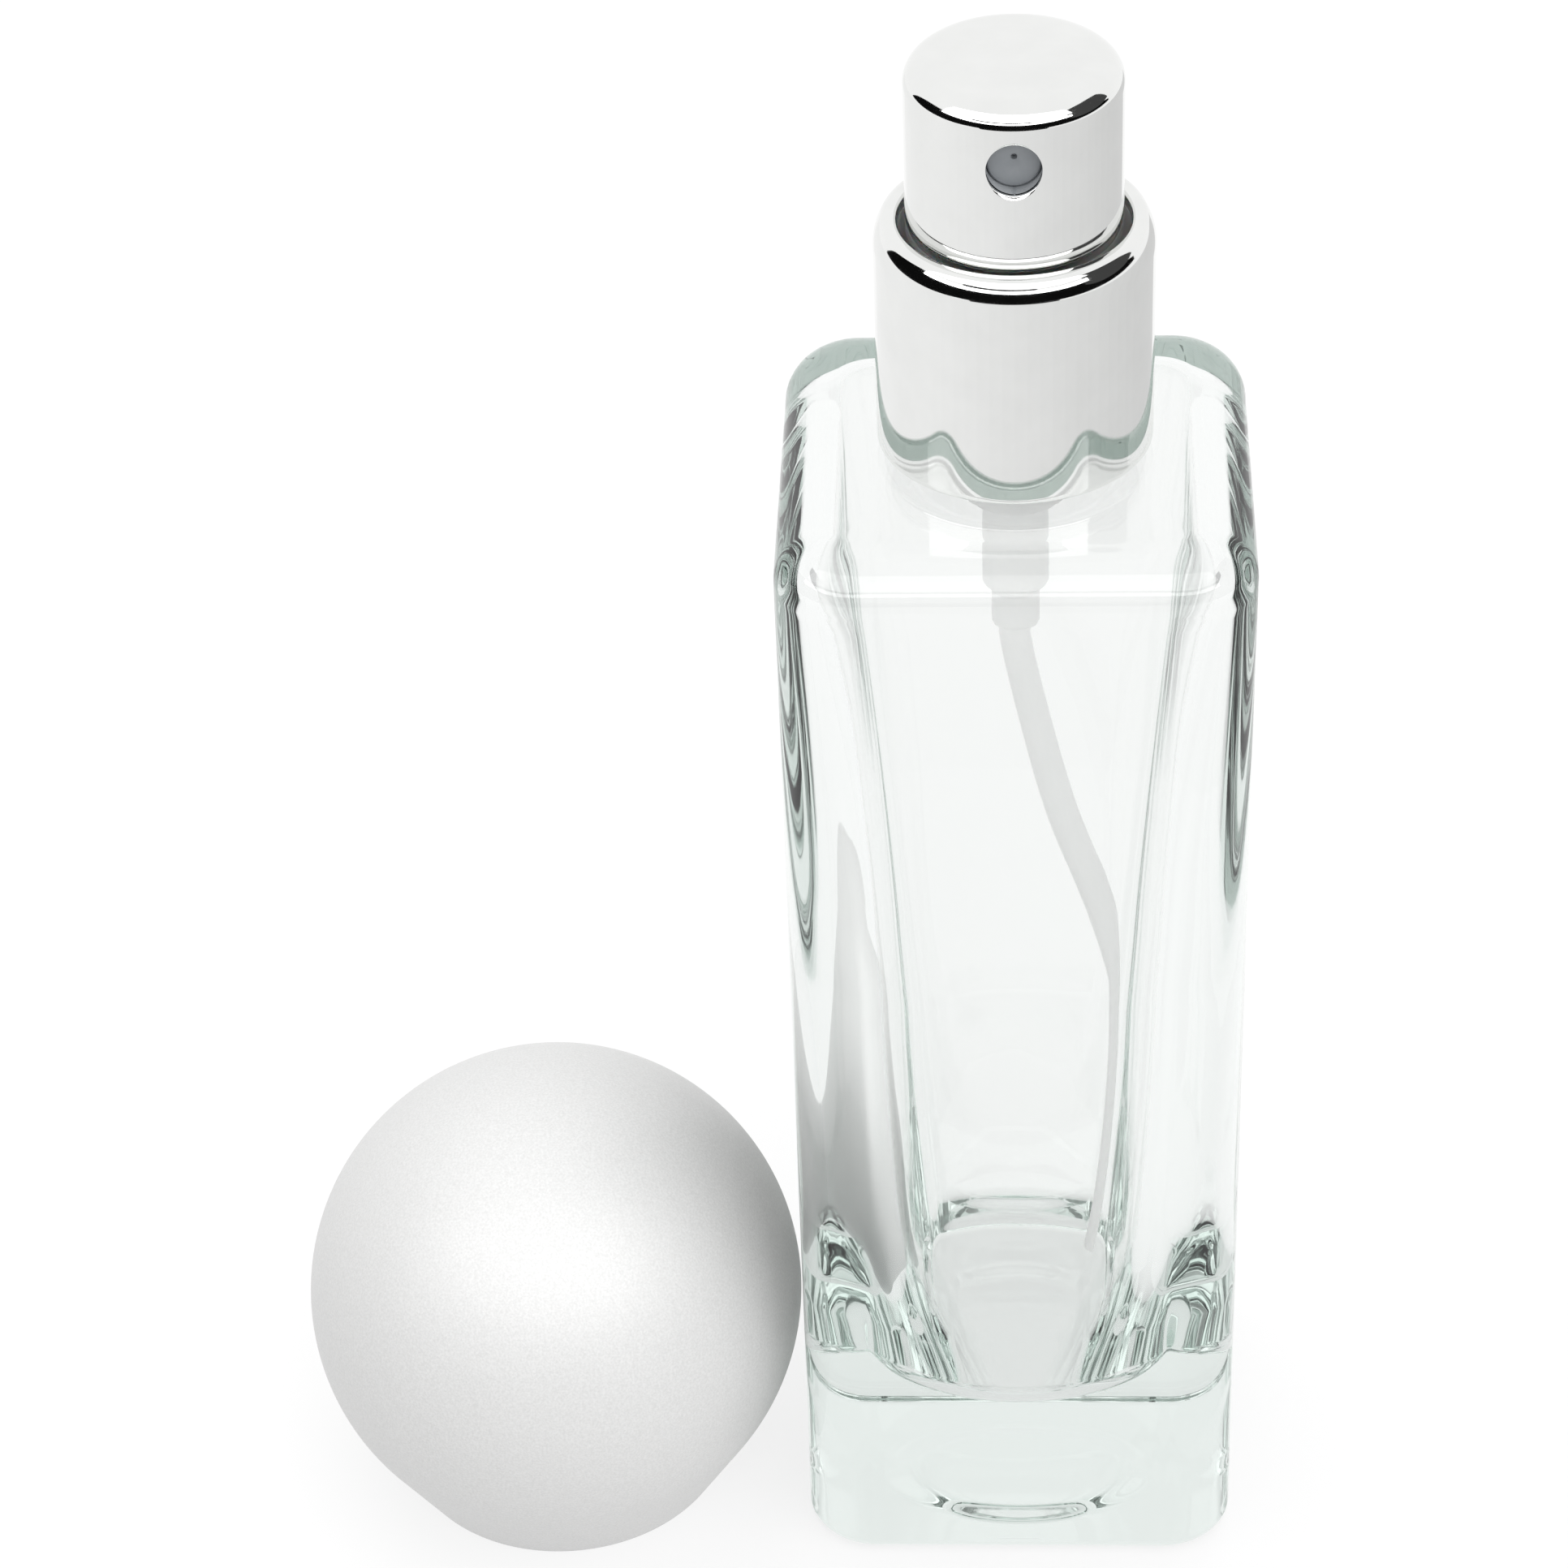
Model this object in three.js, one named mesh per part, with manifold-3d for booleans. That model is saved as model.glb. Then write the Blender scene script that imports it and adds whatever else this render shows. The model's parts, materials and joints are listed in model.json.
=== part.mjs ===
// Aftershave bottle with a screw-on fine-mist pump and a ball cap that stands beside it.
// Millimetres, +Z up. The origin is on the bottle's axis, on the plane that the bottle stands on.
// The spray nozzle faces -Y, and the cap stands on the -X side, mouth down.
import * as THREE from "three";
import { mergeVertices } from "three/addons/utils/BufferGeometryUtils.js";
import Module from "manifold-3d";

const wasm = await Module();
wasm.setup();

// ---------------------------------------------------------------- driving dimensions

// How finely round shapes are cut into flats.
const SIDES = { glass: 32, collar: 36, small: 24, cap: 36, wire: 6, tube: 8 };

// Square glass flask. A "half" is half the width across the flats.
const GLASS = {
  half: 15.5,
  corner: 5,
  shoulderZ: 87,
  shoulderFillet: 3.6,
  baseFillet: 1.2,
  panelRadius: 10,
  panelDepth: 0.45,
  cavityHalf: 12.25,
  cavityTopHalf: 13,
  cavityTopCorner: 4,
  cavityTopFillet: 2.3,
  cavityCeilingZ: 84.9,
  floorZ: 11.8,
  floorRadius: 11.3,
  floorFillet: 3.5,
};

// Glass screw neck.
const NECK = { radius: 6.55, bore: 4.3, lipZ: 96.2, footFillet: 0.85, lipFillet: 0.5 };

// Right-hand thread between the neck and the closure, 12 turns to the inch.
const THREAD = {
  pitch: 25.4 / 12,
  turns: 1.25,
  stepsPerTurn: 20,
  neckCrest: 7.3,
  closureCrest: 6.85,
  closureRoot: 7.6,
  rootWidth: 1.0,
  crestWidth: 0.5,
  neckStartZ: 90.2,
  sink: 0.35,
};

// Stack of pieces on the lip, from the bottom up.
const STACK = {
  gasketTop: 96.9,
  housingTop: 97.7,
  turretTop: 98.3,
  plateBottom: 98.35,
  plateTop: 99.1,
};

// Pump body that hangs in the neck.
const HOUSING = {
  flangeRadius: 6.3,
  bodyRadius: 3.3,
  bodyBottomZ: 81.7,
  waistRadius: 2.2,
  waistTopZ: 81,
  waistBottomZ: 77,
  tailRadius: 1.6,
  tailTopZ: 76.4,
  tailBottomZ: 73.4,
  chamberBore: 2.6,
  ledgeZ: 82.5,
  lowerBore: 1.55,
  seatZ: 78.6,
  seatHole: 0.45,
  socketBore: 1.12,
  socketTopZ: 77.4,
};

const TURRET = { flangeRadius: 3.1, tubeRadius: 2.55, bore: 1.5, bottomZ: 94.9 };
const STEM_GASKET = { inner: 1.45, outer: 2.5, bottomZ: 94.2, topZ: 94.8 };
const BALL = { radius: 0.75, seatGap: 0.03 };

const STEM = {
  radius: 1.4,
  bore: 0.6,
  topZ: 108.6,
  flangeRadius: 2.0,
  flangeBottomZ: 92.9,
  flangeTopZ: 94.1,
  skirtRadius: 1.9,
  skirtBore: 1.4,
  skirtBottomZ: 88.6,
};

const PISTON = { inner: 1.95, outer: 2.52, lipInner: 2.25, bottomZ: 89, topZ: 92.6, lipDepth: 0.8 };
const POPPET = { pinRadius: 0.45, headRadius: 1.3, bottomZ: 86.8, headTopZ: 88, topZ: 94.2 };
const RETURN_SPRING = { coil: 2.2, wire: 0.35, turns: 5, bottomZ: 82.7, topZ: 88.8 };
const INNER_SPRING = { coil: 0.95, wire: 0.25, turns: 6, bottomZ: 88.15, topZ: 92.6 };

// Dip tube: it hangs from the tail, bows towards +X and ends just above the floor.
const TUBE = {
  radius: 1.05,
  bore: 0.65,
  steps: 28,
  route: [
    [0, 0, 77],
    [0, 0, 73.4],
    [0, 0, 71.4],
    [1.1, 0.4, 65.5],
    [3.1, 1.0, 56.5],
    [5.9, 1.9, 47],
    [7.7, 2.6, 38],
    [7.9, 3.2, 29],
    [7.2, 3.8, 20],
    [6.2, 4.2, 12.9],
  ],
};

// Bright metal sleeve over the plastic closure.
const SLEEVE = {
  radius: 9,
  wall: 0.45,
  bottomZ: 87.9,
  topZ: 104,
  sideRadius: 3.2,
  sideTurn: 32,
  edgeRadius: 0.65,
  mouthRadius: 7.4,
};
const CLOSURE = { radius: 8.45, bottomZ: 88.2, topZ: 103, edge: 0.6, upperBore: 7.5, stemHole: 3.3 };

// Push button on the stem.
const ACTUATOR = {
  radius: 6.93,
  wall: 0.4,
  topZ: 115,
  bottomZ: 103.1,
  topFillet: 1.6,
  coreRadius: 6.45,
  coreBottomZ: 103.4,
  bossRadius: 2.7,
  skirtInner: 5.5,
  recessTopZ: 107.6,
  socketBore: 1.45,
  socketTopZ: 108.75,
};
const NOZZLE = {
  z: 110.8,
  holeRadius: 1.8,
  insertRadius: 1.7,
  faceY: -6.1,
  backY: -3.6,
  pocketBackY: -2.6,
  postRadius: 0.9,
  postFrontY: -5.2,
  insertBore: 1.15,
  insertFaceWall: 0.8,
  orificeRadius: 0.22,
  feedRadius: 0.5,
  feedZ: 109.45,
};

// Ball cap. Heights are above its mouth, which is down on the table.
const CAP = {
  x: -34.1,
  y: -3.7,
  radius: 18.1,
  centreZ: 15.4,
  wall: 1.8,
  rimRadius: 12.1,
  rimEdge: 0.3,
  mouthRadius: 10.55,
};
const LINER = {
  outer: 10.45,
  bore: 9.15,
  bottomZ: 0.4,
  stepZ: 17,
  upperOuter: 8.4,
  upperBore: 7.4,
  boreTopZ: 28.2,
  wall: 0.9,
};
const WEIGHT = { inner: 8.5, outer: 10.4, bottomZ: 18, topZ: 26.2 };

// ---------------------------------------------------------------- materials

function material(color, roughness, metalness) {
  return new THREE.MeshStandardMaterial({ color, roughness, metalness });
}

const clearGlass = () => material(0xe4ece8, 0.03, 0);
const polishedMetal = () => material(0xd9dadb, 0.06, 1);
const blastedMetal = () => material(0xcfcfcd, 0.42, 1);
const springSteel = () => material(0xb7b9bb, 0.3, 1);
const whitePlastic = () => material(0xeceeee, 0.45, 0);
const frostedPlastic = () => material(0xdfe4e4, 0.35, 0);
const greyPlastic = () => material(0x7d8087, 0.4, 0);
const greyRubber = () => material(0x9b9d9c, 0.8, 0);

// ---------------------------------------------------------------- shape helpers

const point = (radius, z) => new THREE.Vector2(radius, z);

// Points of an arc in a profile. Angles in degrees, 0 pointing outwards and 90 up.
function arc(centreRadius, centreZ, radius, from, to, steps) {
  const points = [];
  for (let i = 0; i <= steps; i += 1) {
    const angle = THREE.MathUtils.degToRad(THREE.MathUtils.lerp(from, to, i / steps));
    points.push(point(centreRadius + radius * Math.cos(angle), centreZ + radius * Math.sin(angle)));
  }
  return points;
}

// A body of revolution about Z. Its profile runs up the outside, and comes down the inside.
function turned(profile, sides) {
  return new THREE.LatheGeometry(profile, sides).rotateX(Math.PI / 2);
}

// The same for a body with a hole along its axis: the profile is closed on itself.
function turnedRing(profile, sides) {
  return turned([...profile, profile[0].clone()], sides);
}

function plainRing(inner, outer, bottomZ, topZ, sides) {
  const profile = [point(inner, bottomZ), point(outer, bottomZ), point(outer, topZ), point(inner, topZ)];
  return turnedRing(profile, sides);
}

// A body turned about Z whose outline at each station is a square with rounded corners.
// A station whose corner radius equals its half width is a circle.
function squaredTurned(stations, sides) {
  const profile = stations.map((station) => point(station.half, station.z));
  const geometry = new THREE.LatheGeometry(profile, sides).rotateX(Math.PI / 2);
  const position = geometry.getAttribute("position");
  const step = (2 * Math.PI) / sides;
  for (let i = 0; i < position.count; i += 1) {
    const { half, corner } = stations[i % stations.length];
    const angle = (Math.floor(i / stations.length) + 0.5) * step;
    const reach = corner / Math.cos(step / 2);
    const x = Math.sign(Math.sin(angle)) * (half - corner) + reach * Math.sin(angle);
    const y = -Math.sign(Math.cos(angle)) * (half - corner) - reach * Math.cos(angle);
    position.setXY(i, x, y);
  }
  return geometry;
}

// A cylinder along Y, from its lowest to its highest y.
function cylinderAlongY(radius, fromY, toY, z, sides) {
  const geometry = new THREE.CylinderGeometry(radius, radius, toY - fromY, sides);
  return geometry.translate(0, (fromY + toY) / 2, z);
}

function cylinderAlongZ(radius, fromZ, toZ, sides) {
  const geometry = new THREE.CylinderGeometry(radius, radius, toZ - fromZ, sides).rotateX(Math.PI / 2);
  return geometry.translate(0, 0, (fromZ + toZ) / 2);
}

// One screw thread: a straight bar of the thread's section, wrapped up a right-hand helix.
// In the section, x is the height and y is the distance from the axis.
function threadBar(root, crest, startZ) {
  const rootHalf = THREAD.rootWidth / 2;
  const crestHalf = THREAD.crestWidth / 2;
  const section = new THREE.Shape([
    new THREE.Vector2(-rootHalf, root),
    new THREE.Vector2(-crestHalf, crest),
    new THREE.Vector2(crestHalf, crest),
    new THREE.Vector2(rootHalf, root),
  ]);
  const steps = Math.round(THREAD.turns * THREAD.stepsPerTurn);
  const bar = new THREE.ExtrudeGeometry(section, { depth: 1, steps, bevelEnabled: false });
  const position = bar.getAttribute("position");
  for (let i = 0; i < position.count; i += 1) {
    const turn = position.getZ(i) * THREAD.turns;
    const radius = position.getY(i);
    const z = startZ + position.getX(i) + THREAD.pitch * turn;
    const angle = turn * 2 * Math.PI;
    position.setXYZ(i, radius * Math.sin(angle), -radius * Math.cos(angle), z);
  }
  return bar;
}

class Helix extends THREE.Curve {
  constructor(radius, bottomZ, topZ, turns) {
    super();
    Object.assign(this, { radius, bottomZ, topZ, turns });
  }

  getPoint(t, target = new THREE.Vector3()) {
    const angle = t * this.turns * 2 * Math.PI;
    const z = THREE.MathUtils.lerp(this.bottomZ, this.topZ, t);
    return target.set(this.radius * Math.cos(angle), this.radius * Math.sin(angle), z);
  }
}

function circlePath(PathType, radius, sides) {
  const step = (2 * Math.PI) / sides;
  const corner = (i) => new THREE.Vector2(radius * Math.cos(i * step), radius * Math.sin(i * step));
  return new PathType(Array.from({ length: sides }, (_, i) => corner(i)));
}

function coilSpring({ coil, wire, turns, bottomZ, topZ }, stepsPerTurn) {
  const path = new Helix(coil, bottomZ, topZ, turns);
  const section = circlePath(THREE.Shape, wire / 2, SIDES.wire);
  return new THREE.ExtrudeGeometry(section, {
    steps: turns * stepsPerTurn,
    extrudePath: path,
    bevelEnabled: false,
  });
}

// ---------------------------------------------------------------- joining and cutting

function toSolid(geometry) {
  const bare = geometry.clone();
  bare.deleteAttribute("normal");
  bare.deleteAttribute("uv");
  const merged = mergeVertices(bare, 1e-4);
  const vertProperties = new Float32Array(merged.getAttribute("position").array);
  const triVerts = new Uint32Array(merged.getIndex().array);
  return new wasm.Manifold(new wasm.Mesh({ numProp: 3, vertProperties, triVerts }));
}

function fromSolid(solid) {
  const { vertProperties, triVerts } = solid.getMesh();
  const geometry = new THREE.BufferGeometry();
  geometry.setAttribute("position", new THREE.BufferAttribute(vertProperties, 3));
  geometry.setIndex(new THREE.BufferAttribute(triVerts, 1));
  geometry.computeVertexNormals();
  return geometry;
}

const join = (geometries) => fromSolid(geometries.map(toSolid).reduce((a, b) => a.add(b)));

const cut = (body, tools) => fromSolid(tools.map(toSolid).reduce((a, b) => a.subtract(b), toSolid(body)));

// ---------------------------------------------------------------- glass

// An arc whose corner radius shrinks with its half width, as on a filleted square edge.
function filletStations(half, corner, points) {
  return points.map((p) => ({ half: p.x, corner: corner - (half - p.x), z: p.y }));
}

const round = (radius, z) => ({ half: radius, corner: radius, z });

function glassOutside() {
  const { half, corner, baseFillet, shoulderFillet, shoulderZ, panelRadius, panelDepth } = GLASS;
  const base = arc(half - baseFillet, baseFillet, baseFillet, -90, 0, 4);
  const shoulder = arc(half - shoulderFillet, shoulderZ - shoulderFillet, shoulderFillet, 0, 90, 5);
  const { radius, footFillet, lipFillet, lipZ } = NECK;
  const foot = arc(radius + footFillet, shoulderZ + footFillet, footFillet, -90, -180, 3);
  const lip = arc(radius - lipFillet, lipZ - lipFillet, lipFillet, 0, 90, 3);
  return [
    round(0, panelDepth),
    round(panelRadius, panelDepth),
    round(panelRadius + panelDepth, 0),
    ...filletStations(half, corner, base),
    ...filletStations(half, corner, shoulder),
    ...foot.map((p) => round(p.x, p.y)),
    ...lip.map((p) => round(p.x, p.y)),
  ];
}

function glassInside() {
  const { cavityHalf, cavityTopHalf, cavityTopCorner, cavityTopFillet, cavityCeilingZ } = GLASS;
  const { floorZ, floorRadius, floorFillet } = GLASS;
  const ceiling = arc(
    cavityTopHalf - cavityTopFillet, cavityCeilingZ - cavityTopFillet, cavityTopFillet, 90, 0, 4,
  );
  const throat = arc(NECK.bore + 1, cavityCeilingZ + 1, 1, 180, 270, 3);
  const floor = arc(floorRadius - floorFillet, floorZ + floorFillet, floorFillet, 0, -90, 4);
  return [
    round(NECK.bore + NECK.lipFillet, NECK.lipZ),
    round(NECK.bore, NECK.lipZ - NECK.lipFillet),
    ...throat.map((p) => round(p.x, p.y)),
    ...filletStations(cavityTopHalf, cavityTopCorner, ceiling),
    { half: cavityHalf, corner: 5.5, z: 58 },
    { half: cavityHalf, corner: 5.8, z: 47 },
    { half: cavityHalf - 0.15, corner: 8.2, z: 26 },
    ...floor.map((p) => round(p.x, p.y)),
    round(0, floorZ),
  ];
}

function glassBottle() {
  const flask = squaredTurned([...glassOutside(), ...glassInside()], SIDES.glass);
  const thread = threadBar(NECK.radius - THREAD.sink, THREAD.neckCrest, THREAD.neckStartZ);
  return join([flask, thread]);
}

// ---------------------------------------------------------------- pump

function neckGasket() {
  return plainRing(NECK.bore, HOUSING.flangeRadius, NECK.lipZ + 0.02, STACK.gasketTop - 0.02, SIDES.small);
}

function pumpHousing() {
  const h = HOUSING;
  return turnedRing([
    point(h.socketBore, h.tailBottomZ),
    point(h.tailRadius, h.tailBottomZ),
    point(h.tailRadius, h.tailTopZ),
    point(h.waistRadius, h.waistBottomZ),
    point(h.waistRadius, h.waistTopZ),
    point(h.bodyRadius, h.bodyBottomZ),
    point(h.bodyRadius, STACK.gasketTop),
    point(h.flangeRadius, STACK.gasketTop),
    point(h.flangeRadius, STACK.housingTop - 0.02),
    point(h.chamberBore, STACK.housingTop - 0.02),
    point(h.chamberBore, h.ledgeZ),
    point(h.lowerBore, h.ledgeZ),
    point(h.lowerBore, h.seatZ),
    point(h.seatHole, h.seatZ),
    point(h.seatHole, h.socketTopZ),
    point(h.socketBore, h.socketTopZ),
  ], SIDES.small);
}

function pumpTurret() {
  const t = TURRET;
  return turnedRing([
    point(t.bore, t.bottomZ),
    point(t.tubeRadius, t.bottomZ),
    point(t.tubeRadius, STACK.housingTop),
    point(HOUSING.flangeRadius, STACK.housingTop),
    point(HOUSING.flangeRadius, STACK.turretTop),
    point(t.flangeRadius, STACK.turretTop),
    point(t.flangeRadius, STACK.plateTop),
    point(t.bore, STACK.plateTop),
  ], SIDES.small);
}

function stemGasket() {
  const g = STEM_GASKET;
  return plainRing(g.inner, g.outer, g.bottomZ, g.topZ, SIDES.small);
}

function dipTube() {
  const points = TUBE.route.map(([x, y, z]) => new THREE.Vector3(x, y, z));
  const section = circlePath(THREE.Shape, TUBE.radius, SIDES.tube);
  section.holes.push(circlePath(THREE.Path, TUBE.bore, SIDES.tube));
  return new THREE.ExtrudeGeometry(section, {
    steps: TUBE.steps,
    extrudePath: new THREE.CatmullRomCurve3(points),
    bevelEnabled: false,
  });
}

function inletBall() {
  const lift = Math.sqrt(BALL.radius ** 2 - HOUSING.seatHole ** 2);
  const geometry = new THREE.SphereGeometry(BALL.radius, 16, 10).rotateX(Math.PI / 2);
  return geometry.translate(0, 0, HOUSING.seatZ + lift + BALL.seatGap);
}

// ---------------------------------------------------------------- stem

function stemTube() {
  const s = STEM;
  return turnedRing([
    point(s.skirtBore, s.skirtBottomZ),
    point(s.skirtRadius, s.skirtBottomZ),
    point(s.skirtRadius, s.flangeBottomZ),
    point(s.flangeRadius, s.flangeBottomZ),
    point(s.flangeRadius, s.flangeTopZ),
    point(s.radius, s.flangeTopZ),
    point(s.radius, s.topZ),
    point(s.bore, s.topZ),
    point(s.bore, s.flangeBottomZ),
    point(s.skirtBore, s.flangeBottomZ),
  ], SIDES.small);
}

// The sealing lips flare at both ends of the piston, so both ends are hollowed beside the skirt.
function piston() {
  const { inner, outer, lipInner, bottomZ, topZ, lipDepth } = PISTON;
  return turnedRing([
    point(inner, bottomZ + lipDepth),
    point(lipInner, bottomZ),
    point(outer, bottomZ),
    point(outer, bottomZ + lipDepth),
    point(lipInner, bottomZ + 2 * lipDepth),
    point(lipInner, topZ - 2 * lipDepth),
    point(outer, topZ - lipDepth),
    point(outer, topZ),
    point(lipInner, topZ),
    point(inner, topZ - lipDepth),
  ], SIDES.small);
}

function poppet() {
  const p = POPPET;
  return turned([
    point(0, p.bottomZ),
    point(p.headRadius, p.bottomZ),
    point(p.headRadius, p.headTopZ),
    point(p.pinRadius, p.headTopZ),
    point(p.pinRadius, p.topZ - p.pinRadius),
    point(0, p.topZ),
  ], SIDES.small);
}

// ---------------------------------------------------------------- collar

function screwClosure() {
  const c = CLOSURE;
  const body = turnedRing([
    point(THREAD.closureRoot, c.bottomZ),
    point(c.radius, c.bottomZ),
    point(c.radius, c.topZ - c.edge),
    point(c.radius - c.edge, c.topZ),
    point(c.upperBore, c.topZ),
    point(c.upperBore, STACK.plateTop),
    point(c.stemHole, STACK.plateTop),
    point(c.stemHole, STACK.plateBottom),
    point(THREAD.closureRoot, STACK.plateBottom),
  ], SIDES.collar);
  const startZ = THREAD.neckStartZ + THREAD.pitch / 2;
  const thread = threadBar(THREAD.closureRoot + THREAD.sink, THREAD.closureCrest, startZ);
  return join([body, thread]);
}

// The side leans in over a wide arc, and then turns over a tight one into the flat rim.
function collarSleeve() {
  const s = SLEEVE;
  const turn = THREE.MathUtils.degToRad(s.sideTurn);
  const step = s.sideRadius - s.edgeRadius;
  const edgeZ = s.topZ - s.edgeRadius;
  const side = { r: s.radius - s.sideRadius, z: edgeZ - step * Math.sin(turn) };
  const edgeR = side.r + step * Math.cos(turn);
  return turnedRing([
    point(s.radius, s.bottomZ),
    ...arc(side.r, side.z, s.sideRadius, 0, s.sideTurn, 2),
    ...arc(edgeR, edgeZ, s.edgeRadius, s.sideTurn, 90, 3).slice(1),
    point(s.mouthRadius, s.topZ),
    point(s.mouthRadius, s.topZ - s.wall),
    ...arc(edgeR, edgeZ, s.edgeRadius - s.wall, 90, s.sideTurn, 2),
    ...arc(side.r, side.z, s.sideRadius - s.wall, s.sideTurn, 0, 2).slice(1),
    point(s.radius - s.wall, s.bottomZ),
  ], SIDES.collar);
}

// ---------------------------------------------------------------- push button

function actuatorShell() {
  const a = ACTUATOR;
  const inner = a.topFillet - a.wall;
  const cup = turned([
    point(a.radius - a.wall, a.bottomZ),
    point(a.radius, a.bottomZ),
    ...arc(a.radius - a.topFillet, a.topZ - a.topFillet, a.topFillet, 0, 90, 5),
    point(0, a.topZ),
    point(0, a.topZ - a.wall),
    ...arc(a.radius - a.topFillet, a.topZ - a.topFillet, inner, 90, 0, 4),
    point(a.radius - a.wall, a.bottomZ),
  ], SIDES.collar);
  return cut(cup, [cylinderAlongY(NOZZLE.holeRadius, -a.radius - 1, -a.radius + 3, NOZZLE.z, SIDES.small)]);
}

function actuatorCore() {
  const a = ACTUATOR;
  const n = NOZZLE;
  const topZ = a.topZ - a.wall - 0.1;
  const plug = turned([
    point(a.socketBore, a.coreBottomZ),
    point(a.bossRadius, a.coreBottomZ),
    point(a.bossRadius, a.recessTopZ),
    point(a.skirtInner, a.recessTopZ),
    point(a.skirtInner, a.coreBottomZ),
    point(a.coreRadius, a.coreBottomZ),
    point(a.coreRadius, topZ - a.topFillet),
    point(a.coreRadius - a.topFillet, topZ),
    point(0, topZ),
    point(0, a.socketTopZ),
    point(a.socketBore, a.socketTopZ),
    point(a.socketBore, a.coreBottomZ),
  ], SIDES.small);
  const pocket = cut(
    cylinderAlongY(n.holeRadius, -a.coreRadius - 1, n.pocketBackY, n.z, SIDES.small),
    [cylinderAlongY(n.postRadius, n.postFrontY, n.pocketBackY + 1, n.z, SIDES.small)],
  );
  const riser = cylinderAlongZ(n.feedRadius, a.socketTopZ - 1, n.feedZ, 12);
  const feed = cylinderAlongY(n.feedRadius, n.pocketBackY - 0.3, n.feedRadius, n.feedZ, 12);
  return cut(plug, [pocket, riser, feed]);
}

// A swirl cup: closed in front but for its orifice, and open at the back over the post.
function nozzleInsert() {
  const n = NOZZLE;
  const length = n.backY - n.faceY;
  const cup = turnedRing([
    point(n.orificeRadius, 0),
    point(n.insertRadius - 0.2, 0),
    point(n.insertRadius, 0.2),
    point(n.insertRadius, length),
    point(n.insertBore, length),
    point(n.insertBore, n.insertFaceWall),
    point(n.orificeRadius, n.insertFaceWall),
  ], SIDES.small);
  return cup.rotateX(-Math.PI / 2).translate(0, n.faceY, n.z);
}

// ---------------------------------------------------------------- cap

// The ball runs down into a short cone, tangent to it, that ends in the rim.
function capShell() {
  const c = CAP;
  const degrees = THREE.MathUtils.radToDeg;
  const innerRadius = c.radius - c.wall;
  const rimReach = Math.hypot(c.rimRadius, c.centreZ);
  const coneTop = degrees(Math.atan(c.centreZ / c.rimRadius) - Math.acos(c.radius / rimReach));
  const boreTop = degrees(Math.acos(c.mouthRadius / innerRadius));
  return turned([
    point(c.mouthRadius, 0),
    point(c.rimRadius - c.rimEdge, 0),
    point(c.rimRadius, c.rimEdge),
    ...arc(0, c.centreZ, c.radius, -coneTop, 90, 12),
    ...arc(0, c.centreZ, innerRadius, 90, -boreTop, 9),
    point(c.mouthRadius, 0),
  ], SIDES.cap);
}

function capLiner() {
  const l = LINER;
  return turned([
    point(l.bore, l.bottomZ),
    point(l.outer, l.bottomZ),
    point(l.outer, l.stepZ + l.wall),
    point(l.upperOuter, l.stepZ + l.wall),
    point(l.upperOuter, l.boreTopZ + l.wall),
    point(0, l.boreTopZ + l.wall),
    point(0, l.boreTopZ),
    point(l.upperBore, l.boreTopZ),
    point(l.upperBore, l.stepZ),
    point(l.bore, l.stepZ),
    point(l.bore, l.bottomZ),
  ], SIDES.cap);
}

function capWeight() {
  return plainRing(WEIGHT.inner, WEIGHT.outer, WEIGHT.bottomZ, WEIGHT.topZ, SIDES.cap);
}

// ---------------------------------------------------------------- assembly

function named(name, geometry, finish) {
  const mesh = new THREE.Mesh(geometry, finish);
  mesh.name = name;
  return mesh;
}

function sprayPump() {
  const pump = new THREE.Group();
  pump.add(
    named("neck_gasket", neckGasket(), greyRubber()),
    named("pump_housing", pumpHousing(), frostedPlastic()),
    named("pump_turret", pumpTurret(), whitePlastic()),
    named("stem_gasket", stemGasket(), greyRubber()),
    named("return_spring", coilSpring(RETURN_SPRING, 14), springSteel()),
    named("dip_tube", dipTube(), frostedPlastic()),
    named("inlet_ball", inletBall(), springSteel()),
    named("stem", stemTube(), whitePlastic()),
    named("piston", piston(), frostedPlastic()),
    named("poppet", poppet(), whitePlastic()),
    named("precompression_spring", coilSpring(INNER_SPRING, 10), springSteel()),
  );
  return pump;
}

function collar() {
  const group = new THREE.Group();
  group.add(
    named("screw_closure", screwClosure(), whitePlastic()),
    named("collar_sleeve", collarSleeve(), polishedMetal()),
  );
  return group;
}

function pushButton() {
  const group = new THREE.Group();
  group.add(
    named("actuator_core", actuatorCore(), greyPlastic()),
    named("actuator_shell", actuatorShell(), polishedMetal()),
    named("nozzle_insert", nozzleInsert(), greyPlastic()),
  );
  return group;
}

function ballCap() {
  const group = new THREE.Group();
  group.position.set(CAP.x, CAP.y, 0);
  group.add(
    named("cap_shell", capShell(), blastedMetal()),
    named("cap_liner", capLiner(), whitePlastic()),
    named("cap_weight", capWeight(), springSteel()),
  );
  return group;
}

const bottle = new THREE.Group();
bottle.add(named("glass_bottle", glassBottle(), clearGlass()));
bottle.add(sprayPump(), collar(), pushButton(), ballCap());

export default bottle;
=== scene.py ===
import json
import math

import bpy
from mathutils import Matrix, Vector, noise

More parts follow.
